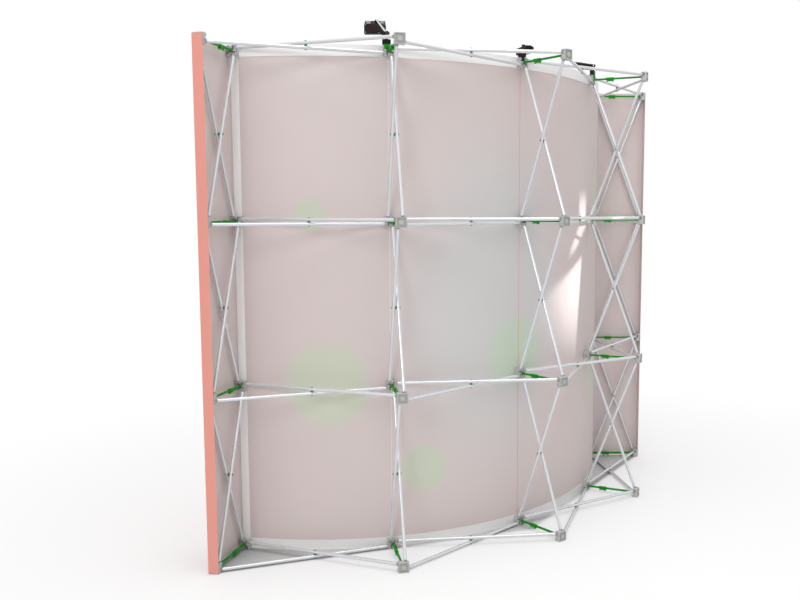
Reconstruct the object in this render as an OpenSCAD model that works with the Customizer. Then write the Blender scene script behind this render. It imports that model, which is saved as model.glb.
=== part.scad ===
// Curved pop up display backwall: a lattice of hinged tubes between front and rear hubs,
// locked open by centre struts, with curved graphic panels, wrapped end panels and clip-on lamps.
// Millimetres. The floor is z = 0, the printed concave side faces -Y, the open lattice faces +Y.
// Columns are numbered from +X to -X and rows from the top down.

/* [Lattice] */
// Columns of hubs along the curve
columns = 5; // [3:1:7]
// Rows of hubs from top to bottom
rows = 4; // [3:1:5]
// Angle between two columns, in degrees
column_step = 26.3; // [21:0.1:28]
// Height between two rows of hubs
row_pitch = 735; // [600:5:850]
// Radius of the curve at the front faces of the front hubs
front_radius = 1468; // [1350:1:1650]
// Distance from a front hub's front face to its rear hub's rear face
frame_depth = 307; // [270:1:340]

/* [Hubs] */
// Width and height of a hub
hub_size = 46; // [46:1:56]
// Depth of a hub, face to back
hub_depth = 30; // [28:1:36]
// Wall left behind the tube pockets
hub_floor = 10; // [8:0.5:12]
// Distance from a hub's centre to a tube pin, along the tube's pocket
pin_reach = 15; // [14:0.5:17]
// Sideways offset of each tube from the hub's centre
tube_offset = 10; // [9.5:0.25:11]
// Depth of a tube pin below the hub's inner face
pin_depth = 10; // [9:0.5:12]
// Diameter of a tube pin
pin_diameter = 4; // [3:0.25:5]

/* [Tubes] */
// Outer diameter of a lattice tube
tube_diameter = 15; // [13:0.5:15.5]
// Wall of a lattice tube
tube_wall = 1.2; // [0.8:0.1:2]
// Distance from a tube pin to the tube's cut end
tube_setback = 12; // [11:0.5:18]
// Length of the end fitting's plug inside the tube
plug_length = 22; // [12:1:40]
// Diameter of the rivet where two tubes cross
rivet_diameter = 5; // [4:0.25:6]
// Diameter of a rivet's head
rivet_head = 9; // [7:0.5:11]

/* [Locks] */
// Width and height of a lock arm
arm_size = 9; // [8:0.5:11]
// Width and height of the latch block
block_size = 14; // [13:0.5:18]
// Distance from the front hub to the latch block
block_start = 60; // [50:1:80]
// Length of the latch block
block_length = 41; // [38:1:50]
// Diameter of the lever's pin
lever_pin_diameter = 3; // [2:0.25:3.5]

/* [Panels] */
// Thickness of a graphic panel
panel_thickness = 1.2; // [0.8:0.1:2]
// Thickness of a panel's rails and of the magnet bars
rail_thickness = 1.5; // [1:0.1:2]
// Height of a panel's top and bottom rails
rail_height = 45; // [30:1:60]
// Width of a magnet bar
bar_width = 36; // [24:1:44]
// Clearance between the panels and the floor
panel_lift = 3; // [2:0.5:10]
// Gap between two neighbouring panels
panel_gap = 1; // [0.5:0.1:3]
// Clearance between the hubs of an end column and the side of its end panel
end_clearance = 4; // [3.5:0.5:20]
// Width of the end panel's return behind the rear hubs
end_return = 50; // [40:1:80]
// Outer corner radius of an end panel
end_corner = 6; // [4:0.5:8]

/* [Lamps] */
// Width of a lamp's head
lamp_width = 92; // [80:1:120]
// Height of a lamp's head
lamp_height = 54; // [48:1:72]
// Depth of a lamp's head
lamp_depth = 30; // [26:1:34]
// Height of the tilt axis above the hub
lamp_axis = 38; // [38:0.5:44]
// Distance from the tilt axis to the head
lamp_stand = 8.5; // [8.5:0.5:16]
// How far each lamp is turned on its hub
lamp_turns = [-14.4, -111, -28]; // [-180:0.1:180]
// How far each lamp leans over, from upright
lamp_leans = [0, 84, 76]; // [0:1:84]

/* [Hidden] */
$fn = 48;

eps = 0.01;
fit = 0.05;      // radial or face clearance of pieces that are fitted together
slip = 0.1;      // radial clearance of a turning pin
middle = (columns + 1) / 2;
last = columns;
frame_height = (rows - 1) * row_pitch + hub_size;
front_inner = front_radius + hub_depth;              // inner faces of the front hubs
rear_outer = front_radius + frame_depth;             // outer faces of the rear hubs
rear_inner = rear_outer - hub_depth;                 // inner faces of the rear hubs
front_pin = front_inner - pin_depth;
rear_pin = rear_inner + pin_depth;
half_step = column_step / 2;

// Share of a cross tube, from its rear pin, at which the two tubes of a pair meet.
rear_arm = rear_pin * sin(half_step) - pin_reach * cos(half_step);
front_arm = front_pin * sin(half_step) - pin_reach * cos(half_step);
cross_share = rear_arm / (rear_arm + front_arm);
cross_radius = (1 - cross_share) * (rear_pin * cos(half_step) + pin_reach * sin(half_step))
    + cross_share * (front_pin * cos(half_step) + pin_reach * sin(half_step));
ladder_radius = (front_pin + rear_pin) / 2;

// Hub pockets
pocket_width = tube_diameter + 1;
ear = hub_size / 2 - tube_offset - pocket_width / 2;
pocket_start = tube_offset - pocket_width / 2 + 3;
web = pocket_start * 2;                              // centre post of a hub
pocket_depth = hub_depth - hub_floor;
pin_start = 1.8 - pocket_start;                      // blind end of a pin's bore
recess_edge = 4;
recess_depth = 3;
cap_size = 20;
cap_plug = 10;
cap_plug_length = 5;
magnet_diameter = 18;
magnet_thickness = 3;

// Tube ends
tube_bore = tube_diameter - 2 * tube_wall;
eye_radius = 6.5;
fitting_width = tube_diameter;
collar_length = 3;
rivet_reach = tube_offset + tube_diameter / 2;
rivet_head_height = 2.5;

// Lock arms, measured from the front hub's inner face
gap_depth = rear_inner - front_inner;
root_diameter = 7;
root_length = 14;
flange_size = arm_size + 4;
flange_thickness = 2;
tongue_size = 6.6;
tongue_length = 32;
notch_start = 11.5;
notch_length = 7.5;
notch_depth = 1.9;
block_end = block_start + block_length;
cavity = tongue_size + 0.4;
lever_width = 5.8;
lever_pivot = block_end - 6;
lever_drop = block_size / 2 + 3;
lug_radius = 5;
lug_thickness = 2.6;
lever_eye = 4.2;

// Panels, counted inwards from the front hubs
seat = 0.3;
rail_outer = front_radius - seat;
rail_inner = rail_outer - rail_thickness;
panel_outer = rail_inner - fit;
panel_inner = panel_outer - panel_thickness;
panel_top = frame_height - panel_lift;
bar_gap = 2.5;      // between a magnet bar and the rails beside it
leaf_gap = 1.5;     // from the hub line to the end panel's front leaf
hook_start = 3;
hook_width = 16;
hook_reach = 5.5;
hook_top = frame_height + 1.8;
end_reach = hub_size / 2 + end_clearance;
end_outer = end_reach + panel_thickness;
end_rear = rear_outer + 2.4;

// Lamps, measured from the top of the hub at the middle of its empty upper pocket
clip_top = 2.5;
base_width = 35;
base_depth = 20;
base_top = clip_top + 20.5;
clip_drop = 13;     // how far the clip reaches down over the hub's inner face
strap_width = 6.5;
strap_top = lamp_width / 2 - 8;
dome_radius = 14;
catch_width = 13;
neck_radius = 7.5;
barrel_radius = 7;
barrel_half = 10.5;
arm_thickness = 3;
lens_margin = 6;
lens_thickness = 2;
head_start = 2;

// The curve's centre lies this far in front of the part's origin.
curve_centre = (rear_outer + (panel_inner + end_corner) * cos(2 * column_step)
    - (end_outer - end_corner) * sin(2 * column_step) - end_corner) / 2;

function column_angle(c) = (middle - c) * column_step;
function row_z(r) = hub_size / 2 + (rows - r) * row_pitch;
function lever_name(c, r) = str("lock_lever_c", c, "_r", r);
// A point given across a column, along its radius and in height, in the part's axes.
function at(c, across, radius, z) = let (a = column_angle(c))
    [across * cos(a) + radius * sin(a), radius * cos(a) - across * sin(a) - curve_centre, z];

module on_column(c) {
    translate([0, -curve_centre, 0]) rotate([0, 0, -column_angle(c)]) children();
}
module on_front_hub(c, r) {
    on_column(c) translate([0, front_inner, row_z(r)]) rotate([0, 0, 180]) children();
}
module on_rear_hub(c, r) {
    on_column(c) translate([0, rear_inner, row_z(r)]) children();
}
// Places a child's +Z axis on the line from one point to another.
module along(from, to) {
    d = to - from;
    translate(from) rotate([0, acos(d[2] / norm(d)), atan2(d[1], d[0])]) children();
}
module every_hub() {
    for (c = [1:columns]) for (r = [1:rows]) {
        $c = c;
        $r = r;
        children();
    }
}
module rounded_rect(size, radius) {
    translate([radius, 0]) square([size[0] - 2 * radius, size[1]]);
    translate([0, radius]) square([size[0], size[1] - 2 * radius]);
    for (x = [radius, size[0] - radius]) for (y = [radius, size[1] - radius])
        translate([x, y]) circle(radius);
}
module centred_rect(size, radius) {
    translate(-size / 2) rounded_rect(size, radius);
}
module centred_box(x, y, z, y0 = 0) {
    translate([-x / 2, y0, -z / 2]) cube([x, y, z]);
}

// ---- Hubs ----
// A hub stands with its inner face at y = 0 and its outer face at y = hub_depth.
// One pocket points along +X; the other three are quarter turns of it about Y.
module quarter_turns() {
    for (k = [0:3]) rotate([0, 90 * k, 0]) children();
}
module ear_plate(z0, thickness) {
    translate([0, 0, z0]) linear_extrude(thickness) {
        translate([pocket_start, pin_depth])
            square([hub_size / 2 - pocket_start, pocket_depth - pin_depth + eps]);
        translate([pin_reach, pin_depth]) circle(min(pin_depth, hub_size / 2 - pin_reach));
    }
}
module hub_body() {
    difference() {
        union() {
            rotate([-90, 0, 0]) translate([0, 0, pocket_depth]) linear_extrude(hub_floor)
                centred_rect([hub_size, hub_size], 3);
            centred_box(web, pocket_depth + eps, web);
            quarter_turns() {
                ear_plate(tube_offset + pocket_width / 2, ear);
                ear_plate(-pocket_start, pocket_start + tube_offset - pocket_width / 2);
            }
        }
        quarter_turns() translate([pin_reach, pin_depth, pin_start])
            cylinder(h = hub_size, r = pin_diameter / 2 + fit);
        rotate([-90, 0, 0]) translate([0, 0, -eps])
            cylinder(h = root_length + 0.2, r = root_diameter / 2 + fit);
    }
}
module rear_hub() {
    difference() {
        hub_body();
        translate([0, hub_depth - recess_depth, 0])
            centred_box(hub_size - 2 * recess_edge, hub_floor, hub_size - 2 * recess_edge);
        translate([0, hub_depth + eps, 0]) rotate([90, 0, 0])
            cylinder(h = recess_depth + cap_plug_length + 0.2, r = cap_plug / 2 + fit);
    }
}
module front_hub() {
    difference() {
        hub_body();
        translate([0, hub_depth + eps, 0]) rotate([90, 0, 0])
            cylinder(h = magnet_thickness + fit, r = magnet_diameter / 2 + fit);
    }
}
module front_hubs() {
    color([0.55, 0.56, 0.56]) every_hub() on_front_hub($c, $r) front_hub();
}
module rear_hubs() {
    color([0.55, 0.56, 0.56]) every_hub() on_rear_hub($c, $r) rear_hub();
}
module rear_hub_caps() {
    color([0.6, 0.61, 0.6]) every_hub() on_rear_hub($c, $r)
        translate([0, hub_depth - recess_depth, 0]) {
            centred_box(cap_size, recess_depth - 0.3, cap_size);
            rotate([90, 0, 0]) translate([0, 0, -eps]) cylinder(h = cap_plug_length, r = cap_plug / 2);
        }
}
module hub_magnets() {
    color([0.3, 0.3, 0.32]) every_hub() on_front_hub($c, $r)
        translate([0, hub_depth, 0]) rotate([90, 0, 0])
            cylinder(h = magnet_thickness, r = magnet_diameter / 2);
}

// ---- Tubes, their end fittings and pins ----
// Calls its child once for every tube, on the line from the rear pin to the front pin.
// $turn brings the child's X axis onto the pin's axis.
module every_cross_tube() {
    for (c = [1:columns - 1]) for (r = [1:rows]) for (side = [-1, 1]) {
        rear = side < 0 ? c : c + 1;
        front = side < 0 ? c + 1 : c;
        $from = at(rear, side * pin_reach, rear_pin, row_z(r) + side * tube_offset);
        $to = at(front, -side * pin_reach, front_pin, row_z(r) + side * tube_offset);
        $turn = 0;
        $share = cross_share;
        along($from, $to) children();
    }
}
module every_ladder_tube() {
    for (c = [1:columns]) for (r = [1:rows - 1]) for (side = [-1, 1]) {
        rear_z = side < 0 ? row_z(r + 1) + pin_reach : row_z(r) - pin_reach;
        front_z = side < 0 ? row_z(r) - pin_reach : row_z(r + 1) + pin_reach;
        $from = at(c, side * tube_offset, rear_pin, rear_z);
        $to = at(c, side * tube_offset, front_pin, front_z);
        $turn = 90;
        $share = 0.5;
        along($from, $to) children();
    }
}
module tube() {
    length = norm($to - $from);
    difference() {
        translate([0, 0, tube_setback])
            cylinder(h = length - 2 * tube_setback, r = tube_diameter / 2);
        cylinder(h = length, r = tube_bore / 2);
        translate([0, 0, $share * length]) rotate([0, 0, $turn]) rotate([0, 90, 0])
            cylinder(h = tube_diameter + 2, r = rivet_diameter / 2 + fit, center = true);
    }
}
module end_fitting() {
    difference() {
        union() {
            rotate([0, 90, 0]) cylinder(h = fitting_width, r = eye_radius, center = true);
            translate([-fitting_width / 2 + 1, -4.5, 0])
                cube([fitting_width - 2, 9, tube_setback - collar_length + eps]);
            translate([0, 0, tube_setback - collar_length])
                cylinder(h = collar_length, r = tube_diameter / 2);
            translate([0, 0, tube_setback - eps])
                cylinder(h = plug_length, r = tube_bore / 2 - fit);
        }
        rotate([0, 90, 0])
            cylinder(h = fitting_width + 2, r = pin_diameter / 2 + slip, center = true);
    }
}
module end_fittings() {
    rotate([0, 0, $turn]) end_fitting();
    translate([0, 0, norm($to - $from)]) mirror([0, 0, 1]) rotate([0, 0, $turn]) end_fitting();
}
module cross_tubes() {
    color([0.85, 0.86, 0.87]) every_cross_tube() tube();
}
module ladder_tubes() {
    color([0.85, 0.86, 0.87]) every_ladder_tube() tube();
}
module tube_end_fittings() {
    color([0.45, 0.46, 0.46]) {
        every_cross_tube() end_fittings();
        every_ladder_tube() end_fittings();
    }
}
// A pin enters through its pocket's outer ear and ends in the inner one, just below both faces.
module pocket_pin() {
    translate([pin_reach, pin_depth, pin_start + 0.2])
        cylinder(h = hub_size / 2 - pin_start - 0.5, r = pin_diameter / 2);
}
// Pockets face, in quarter turns: towards +X, down, towards -X, up.
module pocket_pins(c_plus, down, c_minus, up) {
    if (c_plus) pocket_pin();
    if (down) rotate([0, 90, 0]) pocket_pin();
    if (c_minus) rotate([0, 180, 0]) pocket_pin();
    if (up) rotate([0, 270, 0]) pocket_pin();
}
module hub_pins() {
    color([0.35, 0.36, 0.36]) every_hub() {
        on_rear_hub($c, $r) pocket_pins($c > 1, $r < rows, $c < last, $r > 1);
        on_front_hub($c, $r) pocket_pins($c < last, $r < rows, $c > 1, $r > 1);
    }
}
// A rivet lies along X, with a domed head at each end.
module rivet() {
    rotate([0, 90, 0]) {
        cylinder(h = 2 * (rivet_reach + fit + eps), r = rivet_diameter / 2, center = true);
        for (end = [0, 1]) mirror([0, 0, end]) translate([0, 0, rivet_reach + fit]) {
            cylinder(h = rivet_head_height - 1, r = rivet_head / 2);
            translate([0, 0, rivet_head_height - 1]) cylinder(h = 1, r1 = rivet_head / 2, r2 = rivet_head / 2 - 1.5);
        }
    }
}
module every_crossing() {
    for (c = [1:columns - 1]) for (r = [1:rows])
        on_column(c + 0.5) translate([0, cross_radius, row_z(r)]) rotate([0, 90, 0]) children();
    for (c = [1:columns]) for (r = [1:rows - 1])
        on_column(c) translate([0, ladder_radius, row_z(r) - row_pitch / 2]) children();
}
module scissor_rivets() {
    color([0.3, 0.31, 0.31]) every_crossing() rivet();
}
module scissor_washers() {
    gap = 2 * tube_offset - tube_diameter;
    color([0.1, 0.45, 0.13]) every_crossing() rotate([0, 90, 0]) difference() {
        cylinder(h = gap - fit, r = rivet_diameter / 2 + 4, center = true);
        cylinder(h = gap + 1, r = rivet_diameter / 2 + fit, center = true);
    }
}

// ---- Centre locks ----
// A lock runs along +Y from the front hub's inner face (y = 0) to the rear hub's (y = gap_depth).
module on_lock(c, r) {
    on_column(c) translate([0, front_inner, row_z(r)]) children();
}
module bar(y0, y1, size, radius = 1.5) {
    translate([0, y0, 0]) rotate([-90, 0, 0]) linear_extrude(y1 - y0)
        centred_rect([size, size], radius);
}
module arm_root() {
    rotate([90, 0, 0]) translate([0, 0, -eps]) cylinder(h = root_length, r = root_diameter / 2);
    bar(0, flange_thickness, flange_size);
}
module lock_arm_front() {
    tongue_start = block_start - 0.5;
    difference() {
        union() {
            arm_root();
            bar(0, tongue_start, arm_size);
            bar(tongue_start - eps, block_start + tongue_length, tongue_size, 0.6);
        }
        translate([-block_size / 2, block_start + notch_start, -tongue_size / 2 - 1])
            cube([block_size, notch_length, notch_depth + 1]);
        translate([-block_size / 2, block_start + tongue_length, -tongue_size / 2 - 2])
            rotate([45, 0, 0]) cube([block_size, 4, 4], center = false);
    }
}
module lever_lugs() {
    for (side = [-1, 1]) translate([side * (lever_width / 2 + 0.3 + lug_thickness / 2), 0, 0])
        rotate([90, 0, 90]) linear_extrude(lug_thickness, center = true) {
            translate([lever_pivot, -lever_drop]) circle(lug_radius);
            translate([lever_pivot - lug_radius, -lever_drop])
                square([2 * lug_radius, lever_drop - block_size / 2 + 2]);
        }
}
module lock_arm_rear() {
    difference() {
        union() {
            translate([0, gap_depth, 0]) rotate([0, 0, 180]) arm_root();
            bar(block_end - 1, gap_depth, arm_size);
            bar(block_start, block_end, block_size, 2);
            lever_lugs();
        }
        translate([0, block_start - 1, 0]) centred_box(cavity, tongue_length + 2.5, cavity);
        translate([-lever_width / 2 - 0.3, block_start + 6, -block_size])
            cube([lever_width + 0.6, block_length - 6 + eps, block_size - cavity / 2 + 0.5]);
        translate([0, lever_pivot, -lever_drop]) rotate([0, 90, 0])
            cylinder(h = 2 * block_size, r = lever_pin_diameter / 2 + fit, center = true);
    }
}
module lock_lever() {
    tooth_start = block_start + notch_start + 0.6;
    tooth_end = tooth_start + notch_length - 1.4;
    beam_top = -lever_drop + 2;
    beam_low = -lever_drop - 2;
    tooth_top = -tongue_size / 2 + notch_depth - 0.3;
    difference() {
        rotate([90, 0, 90]) linear_extrude(lever_width, center = true) {
            translate([lever_pivot, -lever_drop]) circle(lever_eye);
            polygon([[lever_pivot, beam_low], [lever_pivot, beam_top], [tooth_end + 3, beam_top],
                [tooth_end, tooth_top], [tooth_start, tooth_top], [tooth_start - 1.5, beam_top],
                [block_start + 1, -lever_drop - 3], [block_start + 2.5, -lever_drop - 5.5],
                [tooth_start + 1, beam_low]]);
        }
        translate([0, lever_pivot, -lever_drop]) rotate([0, 90, 0])
            cylinder(h = 2 * block_size, r = lever_pin_diameter / 2 + slip, center = true);
    }
}
module lock_arms_front() {
    color([0.05, 0.45, 0.08]) every_hub() on_lock($c, $r) lock_arm_front();
}
module lock_arms_rear() {
    color([0.05, 0.45, 0.08]) every_hub() on_lock($c, $r) lock_arm_rear();
}
module lock_lever_pins() {
    color([0.4, 0.41, 0.42]) every_hub() on_lock($c, $r)
        translate([0, lever_pivot, -lever_drop]) rotate([0, 90, 0])
            cylinder(h = lever_width + 2 * lug_thickness + 0.4, r = lever_pin_diameter / 2, center = true);
}
module lock_lever_at(c, r) {
    color([0.1, 0.55, 0.15]) on_lock(c, r) lock_lever();
}

// ---- Panels ----
// An arc of a profile drawn as [radius, z], between two angles from +Y towards +X.
module arc(from, to) {
    translate([0, -curve_centre, 0]) rotate([0, 0, 90 - to])
        rotate_extrude(angle = to - from, $fn = 360) children();
}
function seam_margin(size) = asin(size / front_radius);
module front_panel(i) {
    color([0.80, 0.74, 0.73])
        arc(column_angle(i + 1) + seam_margin(panel_gap / 2), column_angle(i) - seam_margin(panel_gap / 2))
            translate([panel_inner, panel_lift]) square([panel_thickness, panel_top - panel_lift]);
}
// The top rail is folded over the panel and its ends hook over the hubs. At the end columns the
// rails stop short of the magnet bars, and only the fold and the hook run on over them.
module panel_rails(i) {
    clear = bar_width / 2 + bar_gap;
    low_end = column_angle(i + 1) + seam_margin(hook_start);
    high_end = column_angle(i) - seam_margin(hook_start);
    color([0.88, 0.87, 0.86]) difference() {
        union() {
            arc(low_end, high_end) {
                translate([rail_inner, panel_top - rail_height])
                    square([rail_thickness, hook_top - panel_top + rail_height]);
                translate([panel_inner - 1, panel_top + fit])
                    square([rail_inner - panel_inner + 1 + eps, hook_top - panel_top - fit]);
            }
            arc(low_end, high_end) translate([rail_inner, panel_lift]) square([rail_thickness, rail_height]);
            for (hook = [low_end, high_end - seam_margin(hook_width)])
                arc(hook, hook + seam_margin(hook_width))
                    translate([rail_outer - 0.5, frame_height + fit])
                        square([hook_reach + seat + 0.5, hook_top - frame_height - fit - eps]);
        }
        if (i == columns - 1) arc(low_end - 1, column_angle(i + 1) + seam_margin(clear)) rail_cut();
        if (i == 1) arc(column_angle(i) - seam_margin(clear), high_end + 1) rail_cut();
    }
}
module rail_cut() {
    translate([rail_inner - 1, 0]) square([rail_thickness + 2, panel_top]);
}
// The end panel wraps the end column: a leaf in front, a flat side and a return behind.
// It is drawn for the +X end and mirrored for the other.
module end_panel_shape() {
    depth = end_rear + panel_thickness - panel_inner;
    run = end_outer + 150;
    translate([0, 0, panel_lift]) linear_extrude(panel_top - panel_lift) difference() {
        translate([end_outer - run, panel_inner]) rounded_rect([run, depth], end_corner);
        translate([end_outer - run, panel_inner] + [panel_thickness, panel_thickness])
            rounded_rect([run - 2 * panel_thickness, depth - 2 * panel_thickness],
                end_corner - panel_thickness);
        translate([-2 * run, panel_inner - 1])
            square([2 * run + leaf_gap, depth / 2 + 1]);
        translate([-2 * run, panel_inner + depth / 2 - 1])
            square([2 * run + end_outer - end_return, depth]);
    }
}
module end_panel_left() {
    color([0.90, 0.61, 0.55]) on_column(1) end_panel_shape();
}
module end_panel_right() {
    color([0.90, 0.61, 0.55]) on_column(last) mirror([1, 0, 0]) end_panel_shape();
}
module magnet_bars() {
    color([0.80, 0.78, 0.77]) for (c = [1, last]) on_column(c)
        translate([-bar_width / 2, rail_inner, panel_lift])
            cube([bar_width, rail_thickness, panel_top - panel_lift - seat]);
}

// ---- Lamps ----
// A lamp's frame: x along its head, -y where it shines, z up, from the hub's top.
module on_lamp(i) {
    c = middle + i - 2;
    on_column(c) translate([tube_offset, front_inner - pocket_depth / 2, frame_height]) children();
}
module turned(i) {
    on_lamp(i) rotate([0, 0, lamp_turns[i - 1]]) children();
}
module leaned(i) {
    turned(i) translate([0, 0, lamp_axis]) rotate([lamp_leans[i - 1], 0, 0]) children();
}
// The middle lamp's clip has no tab down the hub's inner face.
module lamp_clips() {
    plug_width = pocket_width - 0.6;
    plug_height = hub_size / 2 - pocket_start - 0.3;
    color([0.08, 0.5, 0.1]) for (i = [1:3]) on_lamp(i) {
        translate([-plug_width / 2, -pocket_depth / 2 + 0.3, -plug_height])
            cube([plug_width, pocket_depth - 0.6, plug_height + fit + eps]);
        translate([-12, -pocket_depth / 2 - 3, fit]) cube([24, pocket_depth + 6, clip_top - fit]);
        if (i != 2) translate([-12, pocket_depth / 2 + fit, -clip_drop])
            cube([24, 3 - fit, clip_drop + clip_top]);
    }
}
module lamp_bases() {
    color([0.1, 0.1, 0.11]) for (i = [1:3]) on_lamp(i) difference() {
        translate([-base_width / 2, -base_depth / 2, clip_top])
            cube([base_width, base_depth, base_top - clip_top]);
        translate([0, 0, base_top - 10]) cylinder(h = 11, r = neck_radius - 2 + slip);
    }
}
module lamp_neck(i) {
    color([0.08, 0.08, 0.09]) turned(i) difference() {
        union() {
            translate([0, 0, base_top - 9.8]) cylinder(h = 10.1, r = neck_radius - 2);
            translate([0, 0, base_top + 0.2]) cylinder(h = lamp_axis - base_top, r = neck_radius);
            translate([0, 0, lamp_axis]) rotate([0, 90, 0])
                cylinder(h = 2 * barrel_half, r = barrel_radius, center = true);
        }
        translate([0, 0, lamp_axis]) rotate([0, 90, 0])
            cylinder(h = 3 * barrel_half, r = 2.5 + slip, center = true);
    }
}
// The arm's cheek turns on the neck; its narrow strap climbs the back of the head to a catch on top.
module lamp_arm(i) {
    top = lamp_stand + lamp_height;
    back = lamp_depth / 2 + 0.1;
    color([0.8, 0.8, 0.8]) leaned(i) {
        rotate([0, 90, 0]) cylinder(h = 2 * barrel_half + 6, r = 2.5, center = true);
        for (side = [-1, 1]) translate([side * (barrel_half + 1.8), 0, 0]) rotate([0, 90, 0])
            cylinder(h = arm_thickness, r = barrel_radius, center = true);
        translate([-barrel_half - 1.8 - arm_thickness / 2, 0, -4])
            cube([arm_thickness, back + arm_thickness, 8]);
        translate([0, back, 0]) rotate([-90, 0, 0]) mirror([0, 1, 0])
            linear_extrude(arm_thickness) polygon([[-barrel_half - 3.3, -4], [-barrel_half - 3.3, 4],
                [strap_top, top + 3], [strap_top + strap_width, top + 3],
                [strap_width - barrel_half - 3.3, -4]]);
    }
}
// The head's ends slope in towards its top.
module lamp_head(i) {
    chamfer = 9;
    slope_start = lamp_height - 20;
    color([0.09, 0.08, 0.08]) leaned(i) translate([head_start, 0, lamp_stand]) difference() {
        union() {
            rotate([90, 0, 90]) linear_extrude(lamp_width) polygon([
                [-lamp_depth / 2, 0], [lamp_depth / 2 - 3, 0], [lamp_depth / 2, 3],
                [lamp_depth / 2, lamp_height - chamfer - 6], [lamp_depth / 2 - chamfer, lamp_height],
                [-lamp_depth / 2, lamp_height]]);
            translate([-head_start - 1, lamp_depth / 2 - dome_radius - 0.1, 0]) {
                cylinder(h = 4, r = dome_radius);
                translate([0, 0, 4]) cylinder(h = 5, r1 = dome_radius, r2 = dome_radius - 3);
                translate([0, 0, 9]) cylinder(h = 4, r1 = dome_radius - 3, r2 = dome_radius - 9);
            }
            translate([strap_top + strap_width / 2 - catch_width / 2 - head_start, -6, lamp_height - 1])
                cube([catch_width, lamp_depth / 2 + 6, 4]);
        }
        for (side = [-1, 1]) translate([lamp_width / 2, lamp_depth, 0]) rotate([90, 0, 0])
            linear_extrude(2 * lamp_depth) polygon([
                [side * (lamp_width / 2 + 1), slope_start], [side * lamp_width / 2, slope_start],
                [side * (lamp_width / 2 - 4), lamp_height + 1],
                [side * (lamp_width / 2 + 1), lamp_height + 1]]);
        translate([lens_margin, -lamp_depth / 2 - 1, lens_margin])
            cube([lamp_width - 2 * lens_margin, lens_thickness + 1, lamp_height - 2 * lens_margin]);
        translate([lens_margin + 3, -lamp_depth / 2, lens_margin + 3])
            cube([lamp_width - 2 * lens_margin - 6, 12, lamp_height - 2 * lens_margin - 6]);
    }
}
module lamp_lens(i) {
    color([0.7, 0.72, 0.72, 0.5]) leaned(i)
        translate([head_start + lens_margin + fit, -lamp_depth / 2, lamp_stand + lens_margin + fit])
            cube([lamp_width - 2 * lens_margin - 2 * fit, lens_thickness - fit,
                lamp_height - 2 * lens_margin - 2 * fit]);
}

front_hubs();
rear_hubs();
rear_hub_caps();
hub_magnets();
hub_pins();
tube_end_fittings();
cross_tubes();
ladder_tubes();
scissor_rivets();
scissor_washers();
lock_arms_rear();
lock_arms_front();
lock_lever_pins();
for (c = [1:columns]) for (r = [1:rows])
    lock_lever_at(c, r);
for (i = [1:columns - 1]) {
    front_panel(i);
    panel_rails(i);
}
end_panel_left();
end_panel_right();
magnet_bars();
lamp_clips();
lamp_bases();
for (i = [1:3]) {
    lamp_neck(i);
    lamp_arm(i);
    lamp_head(i);
    lamp_lens(i);
}
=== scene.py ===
"""Curved pop up display backwall: finishes, printed panels, lamp details and a plain studio."""
import math

import bmesh
import bpy
from bpy.props import FloatProperty, FloatVectorProperty, PointerProperty
from bpy.types import Operator, Panel, PropertyGroup
from mathutils import Matrix, Vector


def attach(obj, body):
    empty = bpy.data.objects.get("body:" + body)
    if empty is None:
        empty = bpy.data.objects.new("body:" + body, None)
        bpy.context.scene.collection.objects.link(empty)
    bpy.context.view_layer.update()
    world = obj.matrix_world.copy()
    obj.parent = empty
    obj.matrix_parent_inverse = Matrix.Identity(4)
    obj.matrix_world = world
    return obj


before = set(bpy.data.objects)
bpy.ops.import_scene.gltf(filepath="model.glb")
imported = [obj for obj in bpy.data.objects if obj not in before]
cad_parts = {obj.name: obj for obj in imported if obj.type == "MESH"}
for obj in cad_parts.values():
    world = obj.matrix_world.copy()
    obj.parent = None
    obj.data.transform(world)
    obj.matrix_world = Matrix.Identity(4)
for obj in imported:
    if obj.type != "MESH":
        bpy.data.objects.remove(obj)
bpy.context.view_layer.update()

bl_info = {
    "name": "Curved Pop Up Display Backwall",
    "version": (1, 0, 0),
    "blender": (4, 5, 0),
    "location": "3D View > Sidebar > Backwall",
    "description": "Dresses the packed backwall with finishes, prints, lamp details and a studio",
    "category": "Object",
}

# The lattice, as the solids have it, in metres and radians. Columns count from +X, rows from the
# top, and radii run from the centre of the curve, which lies in front of the backwall.
COLUMNS = 5
ROWS = 4
COLUMN_STEP = math.radians(26.3)
ROW_PITCH = 0.735
HUB_SIZE = 0.046
CURVE_CENTRE = 1.3223917
FILM_INNER = 1.46495
FILM_OUTER = 1.46615
FILM_THICKNESS = 0.0012
REAR_FACE = 1.775
END_SIDE = 0.0282
END_REAR = 1.7786
END_CORNER = 0.006

# The lamps, of which lamp 1 is on column 2. The rise goes from the top of the hubs to the tilt
# axis, and the stand from that axis to the head.
LAMP_TURNS = tuple(math.radians(turn) for turn in (-14.4, -111.0, -28.0))
LAMP_LEANS = tuple(math.radians(lean) for lean in (0.0, 84.0, 76.0))
LAMPS = len(LAMP_TURNS)
LAMP_RISE = 0.038
LAMP_AXIS = (ROWS - 1) * ROW_PITCH + HUB_SIZE + LAMP_RISE
LAMP_ASIDE = 0.010
LAMP_RADIUS = 1.488
LAMP_STAND = 0.0085

# The print: each soft disc's place along the curve, height and radius, the pale oval's place along
# the curve, height, half width and half height, and how far clouds push their edges about.
DISCS = ((0.95, 0.76, 0.22), (1.02, 1.52, 0.09), (0.02, 0.86, 0.20),
         (0.52, 0.36, 0.13), (-1.02, 1.62, 0.24), (-0.84, 0.62, 0.17))
OVAL = (0.17, 1.12, 0.60, 1.02)
RAGGEDNESS = 0.5

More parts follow.
